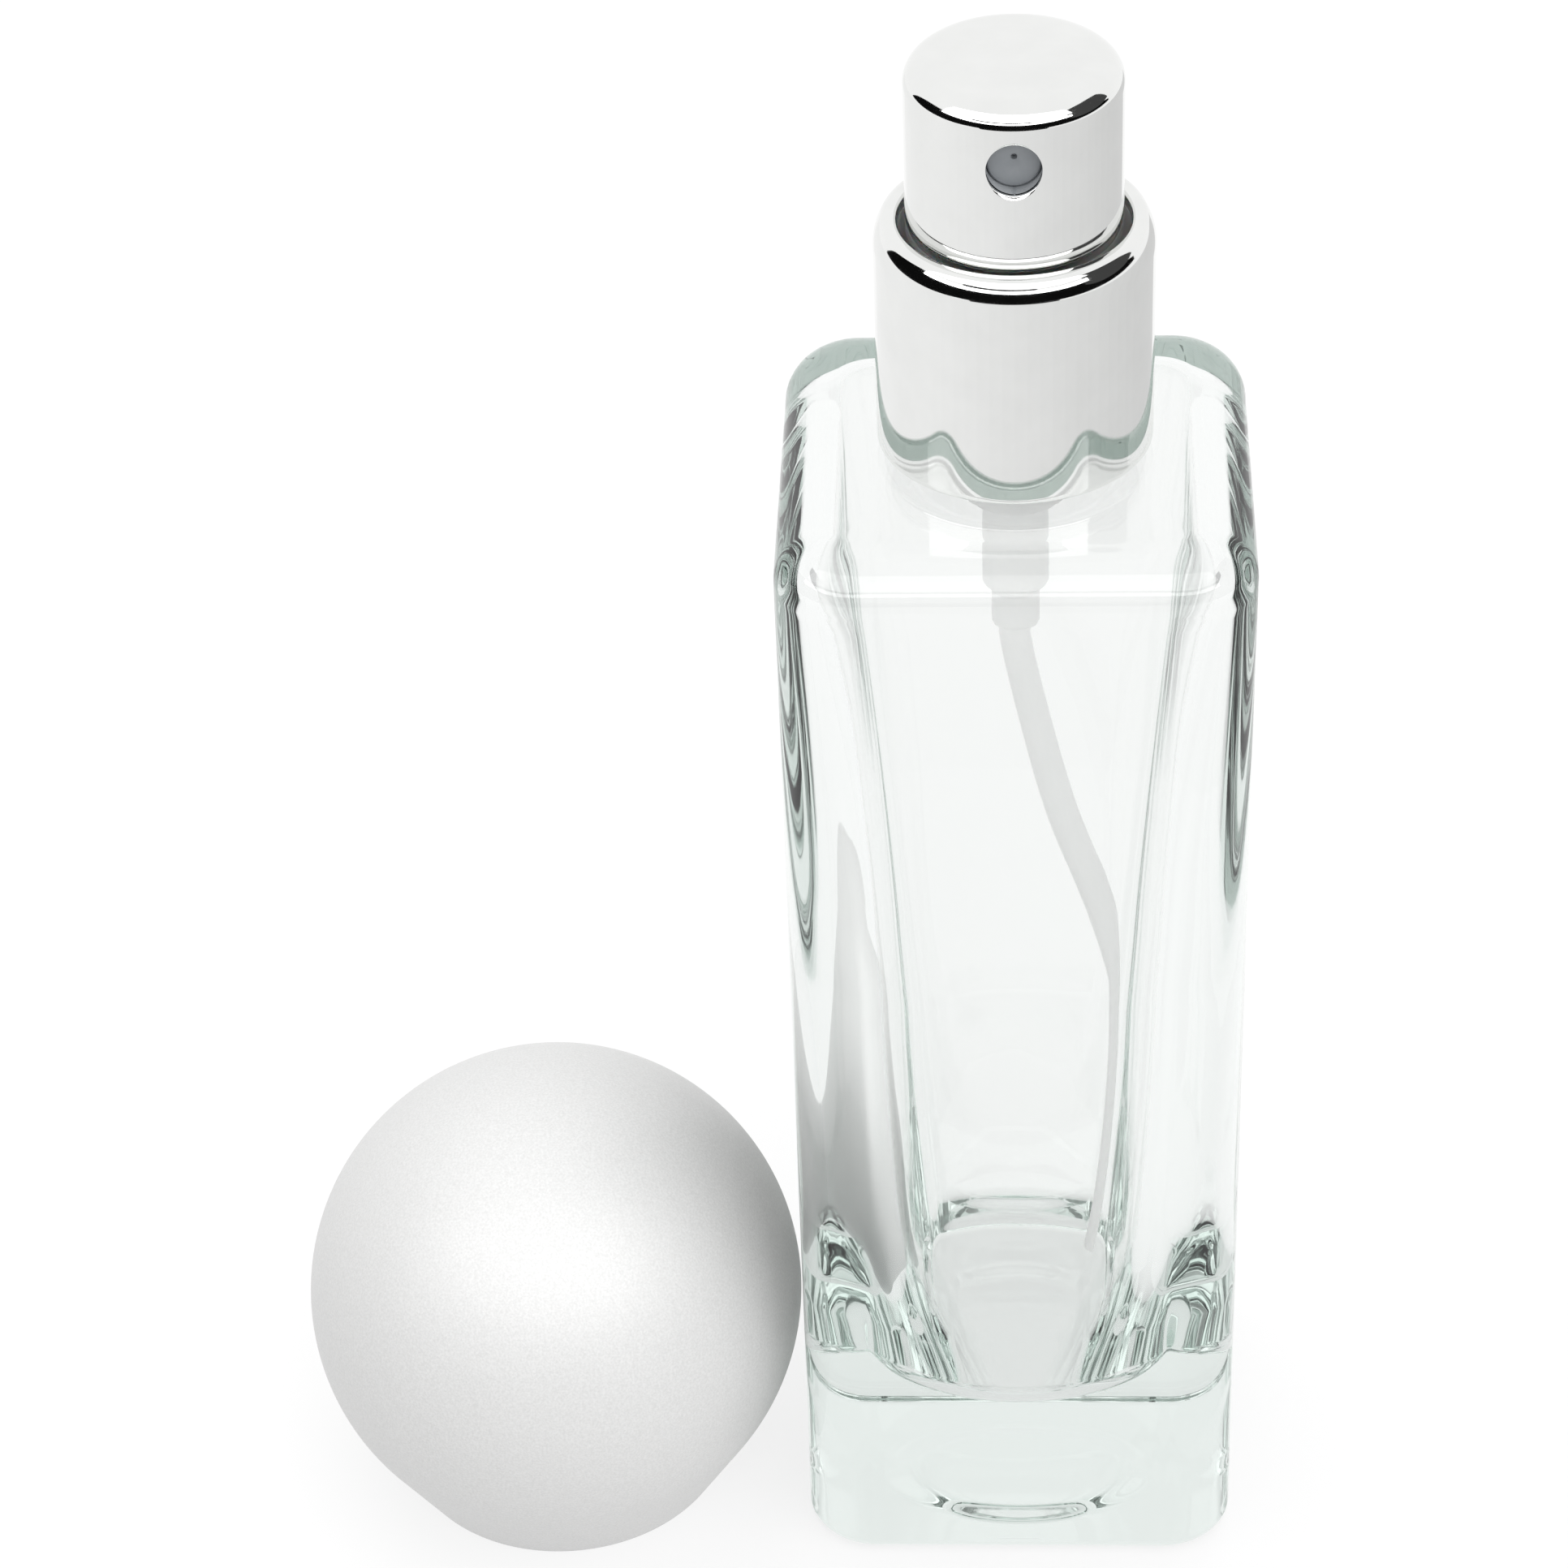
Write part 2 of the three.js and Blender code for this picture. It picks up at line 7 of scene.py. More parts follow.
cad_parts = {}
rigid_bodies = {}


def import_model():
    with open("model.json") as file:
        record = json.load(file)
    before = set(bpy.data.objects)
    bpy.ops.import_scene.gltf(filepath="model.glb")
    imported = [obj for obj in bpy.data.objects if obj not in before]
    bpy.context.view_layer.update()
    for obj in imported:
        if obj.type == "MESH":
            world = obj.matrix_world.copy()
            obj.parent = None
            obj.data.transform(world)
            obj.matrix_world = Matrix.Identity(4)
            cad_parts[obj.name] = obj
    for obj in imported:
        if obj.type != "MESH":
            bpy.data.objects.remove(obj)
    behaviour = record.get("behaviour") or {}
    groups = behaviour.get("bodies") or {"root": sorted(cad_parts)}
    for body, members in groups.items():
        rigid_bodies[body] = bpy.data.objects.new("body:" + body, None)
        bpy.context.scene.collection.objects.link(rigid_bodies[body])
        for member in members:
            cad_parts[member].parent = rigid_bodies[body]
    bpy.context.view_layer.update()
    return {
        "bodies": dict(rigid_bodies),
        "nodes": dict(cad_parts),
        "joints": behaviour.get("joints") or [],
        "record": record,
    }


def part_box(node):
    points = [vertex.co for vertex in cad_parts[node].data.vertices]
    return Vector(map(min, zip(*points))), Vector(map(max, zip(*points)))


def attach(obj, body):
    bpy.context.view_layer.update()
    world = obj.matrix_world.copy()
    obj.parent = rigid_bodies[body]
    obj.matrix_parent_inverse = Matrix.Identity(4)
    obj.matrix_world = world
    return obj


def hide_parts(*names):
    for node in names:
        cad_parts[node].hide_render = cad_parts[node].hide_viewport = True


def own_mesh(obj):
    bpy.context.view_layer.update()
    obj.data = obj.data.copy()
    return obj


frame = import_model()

MM = 0.001
TAU = 2 * math.pi

# ------------------------------------------------------------------ finish sizes, in millimetres
GLASS_CORNER = 5.0
GLASS_SHOULDER_FILLET = 3.6
GLASS_BASE_FILLET = 1.2
GLASS_WALL = 3.25
GLASS_TOP_WALL = 2.5
GLASS_TOP_FILLET = 2.3
GLASS_CEILING = 2.1
GLASS_CEILING_DIP = 0.3
GLASS_FLOOR = 11.8
GLASS_BOWL_RADIUS = 3.2
GLASS_BOWL_START = 5.5
CAVITY_TAPER = 0.9
GLASS_SHOULDER = 87.0
BASE_PANEL_RADIUS = 10.0
BASE_PANEL_DEPTH = 0.45
BASE_PANEL_EDGE = 3.2
BASE_RING_STEP = 0.35
NECK_RADIUS = 6.55
NECK_BORE = 4.3
NECK_FILLET = 0.85
BORE_FILLET = 1.4
LIP_FILLET = 0.5
THREAD_DEPTH = 0.75
THREAD_PITCH = 25.4 / 12
THREAD_TURNS = 1.25
THREAD_START = 90.2
OUTER_WAVER = 0.03
INNER_WAVER = 0.06

# The dip tube's route, as the CAD model has it.
TUBE_ROUTE = [
    (0, 0, 77), (0, 0, 73.4), (0, 0, 71.4), (1.1, 0.4, 65.5), (3.1, 1.0, 56.5),
    (5.9, 1.9, 47), (7.7, 2.6, 38), (7.9, 3.2, 29), (7.2, 3.8, 20), (6.2, 4.2, 12.9),
]
TUBE_RADIUS = 1.05
TUBE_BORE = 0.65


# ------------------------------------------------------------------ places from the frame
def low(node):
    """Lowest corner of a CAD node, in millimetres."""
    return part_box(node)[0] / MM


def high(node):
    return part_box(node)[1] / MM


def middle(node):
    return (low(node) + high(node)) / 2


def span(node):
    return high(node) - low(node)


# ------------------------------------------------------------------ mesh helpers
def arc(cx, cz, radius, start, end, steps):
    """Points of an arc in a profile, in degrees, 0 outwards and 90 up."""
    points = []
    for i in range(steps + 1):
        angle = math.radians(start + (end - start) * i / steps)
        points.append((cx + radius * math.cos(angle), cz + radius * math.sin(angle)))
    return points


def line(a, b, steps):
    """Points from a up to but not including b."""
    return [(a[0] + (b[0] - a[0]) * i / steps, a[1] + (b[1] - a[1]) * i / steps) for i in range(steps)]


def make_object(name, verts, faces, smooth_angle=35.0):
    mesh = bpy.data.meshes.new(name)
    mesh.from_pydata([Vector(v) * MM for v in verts], [], faces)
    mesh.polygons.foreach_set("use_smooth", [True] * len(mesh.polygons))
    mesh.set_sharp_from_angle(angle=math.radians(smooth_angle))
    mesh.validate()
    piece = bpy.data.objects.new(name, mesh)
    bpy.context.scene.collection.objects.link(piece)
    return piece


def grid(name, rings, closed_profile, smooth_angle=35.0):
    """A surface from rings of points, one ring to a station. A ring of one point is a pole."""
    verts = []
    starts = []
    for ring in rings:
        starts.append(len(verts))
        verts.extend(ring)
    faces = []
    pairs = list(zip(range(len(rings)), range(1, len(rings))))
    if closed_profile:
        pairs.append((len(rings) - 1, 0))
    for a, b in pairs:
        na, nb = len(rings[a]), len(rings[b])
        for i in range(max(na, nb)):
            j = (i + 1) % max(na, nb)
            if na == 1:
                faces.append((starts[a], starts[b] + j, starts[b] + i))
            elif nb == 1:
                faces.append((starts[a] + i, starts[a] + j, starts[b]))
            else:
                faces.append((starts[a] + i, starts[a] + j, starts[b] + j, starts[b] + i))
    return make_object(name, verts, faces, smooth_angle)


def turned(name, profile, centre=(0, 0), sides=128, closed_profile=False, shape=None, smooth_angle=35.0):
    """A body of revolution: the profile runs up the outside and down the inside.
    shape(radius, angle, z) may bend the radius."""
    rings = []
    for radius, z in profile:
        if radius < 1e-6:
            rings.append([(centre[0], centre[1], z)])
            continue
        ring = []
        for i in range(sides):
            angle = TAU * i / sides
            r = shape(radius, angle, z) if shape else radius
            ring.append((centre[0] + r * math.cos(angle), centre[1] + r * math.sin(angle), z))
        rings.append(ring)
    return grid(name, rings, closed_profile, smooth_angle)


def rounded(points, radius, steps=4):
    """A closed profile with each corner rounded."""
    made = []
    count = len(points)
    for i in range(count):
        corner = Vector(points[i])
        to_before = Vector(points[i - 1]) - corner
        to_after = Vector(points[(i + 1) % count]) - corner
        reach = min(radius, 0.45 * to_before.length, 0.45 * to_after.length)
        start = corner + to_before.normalized() * reach
        end = corner + to_after.normalized() * reach
        for k in range(steps + 1):
            t = k / steps
            made.append(tuple(start * (1 - t) ** 2 + corner * (2 * t * (1 - t)) + end * t * t))
    return made


def washer(name, inner, outer, bottom, top, edge, centre=(0, 0), sides=96):
    outline = [(inner, bottom), (outer, bottom), (outer, top), (inner, top)]
    return turned(name, rounded(outline, edge), centre, sides, closed_profile=True)


def sweep_frames(points):
    """A tangent and two steady sideways directions at each point of a path."""
    tangents = []
    for i in range(len(points)):
        before = points[max(i - 1, 0)]
        after = points[min(i + 1, len(points) - 1)]
        tangents.append((after - before).normalized())
    side = tangents[0].orthogonal().normalized()
    frames = []
    for tangent in tangents:
        side = (side - tangent * side.dot(tangent)).normalized()
        frames.append((tangent, side, tangent.cross(side)))
    return frames


def ring_about(point, frame, radius, sides):
    _, u, v = frame
    turn = [TAU * i / sides for i in range(sides)]
    return [point + (u * math.cos(a) + v * math.sin(a)) * radius for a in turn]


def rod(name, points, radius, sides=12):
    """A solid wire along a path, with domed ends."""
    frames = sweep_frames(points)
    rings = []
    for end, sign in ((0, -1), (len(points) - 1, 1)):
        tangent = frames[end][0]
        dome = []
        for k in range(4):
            angle = math.radians(90 * k / 4)
            centre = points[end] + tangent * (sign * radius * math.sin(angle))
            dome.append(ring_about(centre, frames[end], radius * math.cos(angle), sides))
        dome.append([points[end] + tangent * sign * radius])
        if sign < 0:
            rings = list(reversed(dome))
            rings += [ring_about(p, f, radius, sides) for p, f in zip(points[1:-1], frames[1:-1])]
        else:
            rings += dome
    return grid(name, rings, False)


def apply_modifiers(piece):
    depsgraph = bpy.context.evaluated_depsgraph_get()
    mesh = bpy.data.meshes.new_from_object(piece.evaluated_get(depsgraph))
    old = piece.data
    piece.modifiers.clear()
    piece.data = mesh
    bpy.data.meshes.remove(old)


def cut(piece, *cutters):
    """Cuts the cutters out of the piece, and removes them."""
    for cutter in cutters:
        modifier = piece.modifiers.new("cut", "BOOLEAN")
        modifier.operation = "DIFFERENCE"
        modifier.solver = "EXACT"
        modifier.object = cutter
    bpy.context.view_layer.update()
    apply_modifiers(piece)
    for cutter in cutters:
        bpy.data.objects.remove(cutter)


def stand(piece, node, body, material):
    """The piece takes a CAD node's place on its body, in a finish."""
    piece.data.materials.clear()
    piece.data.materials.append(material)
    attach(piece, body)
    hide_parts(node)
    return piece


def turn_to_y(piece, y, z):
    """Lays a body turned about Z along +Y, with its z = 0 at y, at height z."""
    piece.data.transform(Matrix.Translation((0, y * MM, z * MM)) @ Matrix.Rotation(-math.pi / 2, 4, "X"))


# ------------------------------------------------------------------ materials
class Nodes:
    """A short way to write a material's nodes."""

    def __init__(self, name):
        self.material = bpy.data.materials.new(name)
        self.material.use_nodes = True
        self.tree = self.material.node_tree
        self.shader = self.tree.nodes["Principled BSDF"]
        self.output = self.tree.nodes["Material Output"]
        self.coords = self.tree.nodes.new("ShaderNodeTexCoord")

    def add(self, kind, **values):
        node = self.tree.nodes.new(kind)
        for key, value in values.items():
            if hasattr(node, key):
                setattr(node, key, value)
            else:
                node.inputs[key.replace("_", " ")].default_value = value
        return node

    def link(self, source, target):
        self.tree.links.new(source, target)

    def set(self, **values):
        for key, value in values.items():
            self.shader.inputs[key.replace("_", " ")].default_value = value

    def noise(self, grain, detail=2.0, stretch=(1, 1, 1)):
        """Noise whose lumps are about grain millimetres across."""
        mapping = self.add("ShaderNodeMapping")
        mapping.inputs["Scale"].default_value = Vector(stretch) / (grain * MM)
        self.link(self.coords.outputs["Object"], mapping.inputs["Vector"])
        texture = self.add("ShaderNodeTexNoise", Scale=1.0, Detail=detail, Roughness=0.55)
        self.link(mapping.outputs["Vector"], texture.inputs["Vector"])
        return texture.outputs["Fac"]

    def between(self, factor, lowest, highest):
        """A number between two values, as the factor goes from 0.3 to 0.7."""
        node = self.add("ShaderNodeMapRange")
        node.inputs["From Min"].default_value = 0.3
        node.inputs["From Max"].default_value = 0.7
        node.inputs["To Min"].default_value = lowest
        node.inputs["To Max"].default_value = highest
        self.link(factor, node.inputs["Value"])
        return node.outputs["Result"]

    def tint(self, factor, first, second):
        node = self.add("ShaderNodeMix", data_type="RGBA")
        node.inputs[6].default_value = (*first, 1)
        node.inputs[7].default_value = (*second, 1)
        self.link(self.between(factor, 0.0, 1.0), node.inputs[0])
        self.link(node.outputs[2], self.shader.inputs["Base Color"])

    def bump(self, *layers):
        """Bumps from (height factor, depth in millimetres) pairs, one on another."""
        normal = None
        for height, depth in layers:
            node = self.add("ShaderNodeBump", Strength=1.0)
            node.inputs["Distance"].default_value = depth * MM
            self.link(height, node.inputs["Height"])
            if normal:
                self.link(normal, node.inputs["Normal"])
            normal = node.outputs["Normal"]
        self.link(normal, self.shader.inputs["Normal"])


def clear_glass():
    """Flint glass: faintly green through its thickness, with a slight unevenness from the mould."""
    n = Nodes("clear_glass")
    n.set(Base_Color=(0.96, 0.963, 0.96, 1), Transmission_Weight=1.0, IOR=1.51)
    n.link(n.between(n.noise(7.0, 3.0), 0.004, 0.022), n.shader.inputs["Roughness"])
    n.bump((n.noise(9.0, 1.0, (1, 1, 0.6)), 0.005), (n.noise(2.5, 1.0), 0.0005))
    absorption = n.add("ShaderNodeVolumeAbsorption")
    absorption.inputs["Color"].default_value = (0.73, 0.80, 0.77, 1)
    absorption.inputs["Density"].default_value = 25.0
    n.link(absorption.outputs["Volume"], n.output.inputs["Volume"])
    return n.material


def polished_metal():
    """Bright silver anodised aluminium with hair-fine drawing lines and faint handling smears."""
    n = Nodes("polished_metal")
    n.set(Metallic=1.0)
    smear = n.noise(3.0, 3.0)
    grain = n.noise(0.35, 2.0, (1, 1, 0.12))
    n.tint(smear, (0.80, 0.805, 0.795), (0.83, 0.835, 0.825))
    n.link(n.between(smear, 0.035, 0.075), n.shader.inputs["Roughness"])
    n.bump((grain, 0.0003))
    return n.material


def blasted_metal():
    """Bead-blasted silver anodised aluminium: an even, fine, matt grain."""
    n = Nodes("blasted_metal")
    n.set(Metallic=0.15)
    fine = n.noise(0.16, 2.0)
    cloud = n.noise(4.0, 3.0)
    n.tint(fine, (0.52, 0.52, 0.517), (0.60, 0.60, 0.597))
    n.link(n.between(cloud, 0.46, 0.52), n.shader.inputs["Roughness"])
    n.bump((fine, 0.012), (n.noise(0.45, 1.0), 0.006))
    return n.material


def spring_steel():
    n = Nodes("spring_steel")
    n.set(Metallic=1.0)
    n.tint(n.noise(0.5, 3.0), (0.5, 0.51, 0.53), (0.62, 0.62, 0.62))
    n.link(n.between(n.noise(0.12, 2.0, (1, 1, 0.1)), 0.2, 0.34), n.shader.inputs["Roughness"])
    n.bump((n.noise(0.1, 1.0), 0.002))
    return n.material


def moulded_plastic(name, first, second, roughness, scatter=0.0, glow=0.0):
    """Injection-moulded or extruded plastic: slight clouding, a satin skin and a very fine grain.
    glow is painted light: an even emission that brightens the part, standing for the light that passes
    through a thin wall."""
    n = Nodes(name)
    n.set(IOR=1.49, Subsurface_Weight=scatter, Subsurface_Scale=0.0006)
    n.set(Emission_Color=(1, 1, 1, 1), Emission_Strength=glow)
    n.tint(n.noise(1.6, 3.0), first, second)
    n.link(n.between(n.noise(0.8, 2.0), roughness, roughness + 0.12), n.shader.inputs["Roughness"])
    n.bump((n.noise(0.12, 2.0), 0.002), (n.noise(1.2, 1.0), 0.004))
    return n.material


def gasket_rubber():
    n = Nodes("gasket_rubber")
    n.set(IOR=1.5)
    n.tint(n.noise(0.6, 3.0), (0.28, 0.285, 0.28), (0.36, 0.36, 0.355))
    n.link(n.between(n.noise(0.3, 2.0), 0.6, 0.8), n.shader.inputs["Roughness"])
    n.bump((n.noise(0.1, 2.0), 0.006))
    return n.material


GLASS = clear_glass()
MIRROR = polished_metal()
BLASTED = blasted_metal()
STEEL = spring_steel()
WHITE = moulded_plastic("white_plastic", (0.80, 0.81, 0.81), (0.87, 0.87, 0.86), 0.32, scatter=0.3)
# frosted_plastic carries painted light: its glow of 0.13 is an emission that brightens the tube, the pump
# barrel and the piston inside the glass.
FROSTED = moulded_plastic("frosted_plastic", (0.95, 0.955, 0.95), (0.98, 0.98, 0.975), 0.35, glow=0.13)
GREY = moulded_plastic("grey_plastic", (0.21, 0.225, 0.24), (0.25, 0.265, 0.28), 0.3)
RUBBER = gasket_rubber()


# ------------------------------------------------------------------ glass flask
CORNER_STEPS = 30
SIDE_STEPS = (0.01, 0.04, 0.1, 0.2, 0.32, 0.44, 0.56, 0.68, 0.8, 0.9, 0.96, 0.99)


def square_ring(half, corner, z, shift=None):
    """A ring of a square with rounded corners. shift(x, y, z, outward) may move each point."""
    ring = []
    flat = half - corner
    for quarter in range(4):
        start = math.radians(90 * quarter)
        cx = flat * (1 if quarter in (0, 3) else -1)
        cy = flat * (1 if quarter in (0, 1) else -1)
        for k in range(CORNER_STEPS + 1):
            angle = start + math.radians(90) * k / CORNER_STEPS
            outward = Vector((math.cos(angle), math.sin(angle)))
            ring.append((cx + corner * outward.x, cy + corner * outward.y, outward))
        next_start = start + math.radians(90)
        outward = Vector((math.cos(next_start), math.sin(next_start)))
        along = Vector((-outward.y, outward.x)) * 2 * max(flat, 0.0)
        x, y, _ = ring[-1]
        if flat > 1e-6:
            ring.extend((x + along.x * t, y + along.y * t, outward) for t in SIDE_STEPS)
        else:
            ring.extend(None for _ in SIDE_STEPS)
    if flat <= 1e-6:
        ring = round_ring(half)
    points = []
    for x, y, outward in ring:
        push = shift(x, y, z, outward) if shift else 0.0
        points.append((x + outward.x * push, y + outward.y * push, z))
    return points


def ring_angles():
    """The angle of each ring point on a circle, chosen to lie near its place on the square."""
    count = CORNER_STEPS + 1 + len(SIDE_STEPS)
    angles = []
    for quarter in range(4):
        for k in range(count):
            angles.append(math.radians(90) * (quarter + (k + 0.5) / count))
    return angles


def round_ring(radius):
    turn = math.radians(45) / (CORNER_STEPS + 1 + len(SIDE_STEPS))
    offset = math.radians(90) * len(SIDE_STEPS) / (CORNER_STEPS + 1 + len(SIDE_STEPS)) / 2
    ring = []
    for angle in ring_angles():
        a = angle - turn + offset
        outward = Vector((math.cos(a), math.sin(a)))
        ring.append((radius * outward.x, radius * outward.y, outward))
    return ring


def thread_height(x, y, z, start):
    """How far a right-hand thread stands out at a point, from 0 to 1, with ends that run out."""
    angle = (math.atan2(y, x) + math.pi / 2) % TAU
    best = 0.0
    for lap in range(-1, 3):
        turn = angle / TAU + lap
        if not -0.04 <= turn <= THREAD_TURNS + 0.04:
            continue
        away = abs(z - start - THREAD_PITCH * turn)
        flank = min(1.0, max(0.0, (0.5 - away) / 0.25))
        run_out = min(1.0, (turn + 0.04) / 0.08, (THREAD_TURNS + 0.04 - turn) / 0.08)
        best = max(best, flank * flank * (3 - 2 * flank) * run_out)
    return best


def waver(amount, seed):
    """Long, shallow streaks down a wall."""
    def shift(x, y, z, outward):
        return amount * noise.noise(Vector((x * 0.3 + seed, y * 0.3, z * 0.012)))
    return shift


def faded(shift, fade, offset=0.0):
    return lambda x, y, z, outward: fade * (shift(x, y, z, outward) - offset)


def squares(points, half, corner):
    """Square rings for a profile that reaches out to half, with corners that shrink as it goes in."""
    return [square_ring(r, corner - (half - r), z) for r, z in points]


def rounds(points, shift=None):
    return [square_ring(r, r, z, shift) for r, z in points]


def flask_underside(half):
    """A sunk round panel with a soft edge, inside the bearing ring, and the fillet round it."""
    rings = [[(0, 0, BASE_PANEL_DEPTH)]]
    rings += rounds([(r, BASE_PANEL_DEPTH) for r in (2, 4, 6)])
    bearing = BASE_PANEL_RADIUS + BASE_RING_STEP
    for k in range(17):
        r = BASE_PANEL_RADIUS - BASE_PANEL_EDGE + (BASE_PANEL_EDGE + BASE_RING_STEP) * k / 16
        rings.append(square_ring(r, r, BASE_PANEL_DEPTH * (0.5 + 0.5 * math.cos(math.pi * k / 16))))
    flat = half - GLASS_BASE_FILLET
    for k in (1, 2, 3):
        r = bearing + (flat - bearing) * k / 4
        corner = r + (GLASS_CORNER - GLASS_BASE_FILLET - r) * k / 4
        rings.append(square_ring(r, corner, 0.0))
    fillet = arc(flat, GLASS_BASE_FILLET, GLASS_BASE_FILLET, -90, 0, 10)
    return rings + squares(fillet, half, GLASS_CORNER)


def flask_wall(half):
    outer = waver(OUTER_WAVER, 3.0)
    shoulder_start = GLASS_SHOULDER - GLASS_SHOULDER_FILLET
    heights = [GLASS_BASE_FILLET + 0.15, GLASS_BASE_FILLET + 0.8]
    heights += [4 + (shoulder_start - 8) * k / 40 for k in range(41)]
    heights += [shoulder_start - 0.8, shoulder_start - 0.15]
    rings = []
    for z in heights:
        fade = min(1.0, (z - GLASS_BASE_FILLET) / 8, (shoulder_start - z) / 8)
        rings.append(square_ring(half, GLASS_CORNER, z, faded(outer, fade, OUTER_WAVER)))
    return rings


def flask_shoulder(half):
    """The fillet over the wall, and the flat top, whose square outline turns round at the neck."""
    inner_half = half - GLASS_SHOULDER_FILLET
    inner_corner = GLASS_CORNER - GLASS_SHOULDER_FILLET
    fillet = arc(inner_half, GLASS_SHOULDER - GLASS_SHOULDER_FILLET, GLASS_SHOULDER_FILLET, 0, 90, 16)
    rings = squares(fillet, half, GLASS_CORNER)
    neck_foot = NECK_RADIUS + NECK_FILLET
    for k in (0.02, 0.1, 0.25, 0.45, 0.7, 0.9):
        r = inner_half + (neck_foot - inner_half) * k
        corner = inner_corner + (neck_foot - inner_corner) * k
        rings.append(square_ring(r, corner, GLASS_SHOULDER))
    return rings + rounds(arc(neck_foot, GLASS_SHOULDER + NECK_FILLET, NECK_FILLET, 270, 180, 6))


def flask_neck():
    """The neck with its thread, the lip, and the bore."""
    lip = high("glass_bottle").z

    def thread(x, y, z, outward):
        return THREAD_DEPTH * thread_height(x, y, z, THREAD_START)

    rings = rounds([(NECK_RADIUS, GLASS_SHOULDER + 1.1 + 0.14 * k) for k in range(54)], thread)
    rings += rounds(arc(NECK_RADIUS - LIP_FILLET, lip - LIP_FILLET, LIP_FILLET, 0, 90, 6))
    rings += rounds(arc(NECK_BORE + LIP_FILLET, lip - LIP_FILLET, LIP_FILLET, 90, 180, 6))
    return rings + rounds([(NECK_BORE, z) for z in (93, 90, 87.5, 85.5)])


def flask_ceiling(top_half, ceiling, wall_top):
    """From the bore out over the cavity's ceiling, and down its fillet to the top of its wall."""
    rings = rounds(arc(NECK_BORE + BORE_FILLET, ceiling + BORE_FILLET, BORE_FILLET, 180, 270, 8))
    throat = NECK_BORE + BORE_FILLET
    top = top_half - GLASS_TOP_FILLET
    for k in (0.2, 0.5, 0.8):
        r = throat + (top - throat) * k
        rings.append(square_ring(r, r + (1.6 - r) * k, ceiling - 0.25 * k))
    for r, z in arc(top, wall_top, GLASS_TOP_FILLET, 88, 0, 16):
        rings.append(square_ring(r, 1.4 + (r - top), z))
    return rings


def cavity_wall(cavity, top_half, wall_top):
    """The cavity is wider at its top, and its corners grow rounder on the way down."""
    inner = waver(INNER_WAVER, 11.0)
    wall_bottom = GLASS_FLOOR + GLASS_BOWL_START
    steps = 56
    rings = []
    for k in range(1, steps):
        t = k / steps
        z = wall_top + (wall_bottom - wall_top) * t
        corner = 3.7 + 2.1 * min(1.0, 2 * t) + 3.7 * t ** 3
        widen = (top_half - cavity) * max(0.0, 1 - t / 0.38) ** 1.5
        shrink = CAVITY_TAPER * max(0.0, (t - 0.8) / 0.2) ** 2
        fade = min(1.0, t * 3, (1 - t) * 6)
        rings.append(square_ring(cavity + widen - shrink, corner, z, faded(inner, fade)))
    return rings


def cavity_floor(cavity):
    """The bowl at the foot of the cavity, and its faintly raised floor."""
    radius = GLASS_BOWL_RADIUS
    rings = []
    for r, z in arc(cavity - CAVITY_TAPER - radius, GLASS_FLOOR + radius, radius, 0, -90, 16):
        square_left = max(0.0, (z - GLASS_FLOOR) / radius)
        rings.append(square_ring(r, r - 0.35 * square_left, z))
    rings += rounds([(r, GLASS_FLOOR + 0.05 * (1 - r / 8.0)) for r in (7, 5, 3, 1)])
    return rings + [[(0, 0, GLASS_FLOOR + 0.06)]]


def glass_flask():
    """The flask in rings: up the outside from its underside, over the lip and down the cavity."""
    half = span("glass_bottle").x / 2
    cavity = half - GLASS_WALL
    top_half = half - GLASS_TOP_WALL
    ceiling = GLASS_SHOULDER - GLASS_CEILING
    wall_top = ceiling - GLASS_CEILING_DIP - GLASS_TOP_FILLET
    rings = flask_underside(half) + flask_wall(half) + flask_shoulder(half) + flask_neck()
    rings += flask_ceiling(top_half, ceiling, wall_top)
    rings += cavity_wall(cavity, top_half, wall_top)
    rings += cavity_floor(cavity)
    flask = grid("glass_flask", rings, False, 60.0)
    return stand(flask, "glass_bottle", "bottle", GLASS)


# ------------------------------------------------------------------ pump
def neck_gasket():
    bottom, top = low("neck_gasket").z, high("neck_gasket").z
    piece = washer("neck_seal", NECK_BORE, span("neck_gasket").x / 2, bottom, top, 0.12)
    stand(piece, "neck_gasket", "pump", RUBBER)


def pump_housing():
    top = high("pump_housing").z
    bottom = low("pump_housing").z
    flange = span("pump_housing").x / 2
    outline = [
        (1.12, bottom), (1.5, bottom), (1.6, bottom + 0.3), (1.6, bottom + 3.0), (2.2, bottom + 3.6),
        (2.2, bottom + 7.6), (3.3, bottom + 8.3), (3.3, top - 0.78), (flange, top - 0.78),
        (flange, top), (2.6, top), (2.6, bottom + 9.1), (1.55, bottom + 9.1),
        (1.55, bottom + 5.2), (0.45, bottom + 5.2), (0.45, bottom + 4.0), (1.12, bottom + 4.0),
    ]
    piece = turned("pump_barrel", rounded(outline, 0.2), closed_profile=True)
    stand(piece, "pump_housing", "pump", FROSTED)


def pump_turret():
    bottom, top = low("pump_turret").z, high("pump_turret").z
    flange = span("pump_turret").x / 2
    outline = [
        (1.5, bottom), (2.55, bottom), (2.55, bottom + 2.8), (flange, bottom + 2.8),
        (flange, top - 0.8), (3.1, top - 0.8), (3.1, top), (1.5, top),
    ]
    piece = turned("turret", rounded(outline, 0.15), closed_profile=True)
    stand(piece, "pump_turret", "pump", WHITE)


def stem_gasket():
    bottom, top = low("stem_gasket").z, high("stem_gasket").z
    piece = washer("stem_seal", 1.45, span("stem_gasket").x / 2, bottom, top, 0.12, sides=64)
    stand(piece, "stem_gasket", "pump", RUBBER)


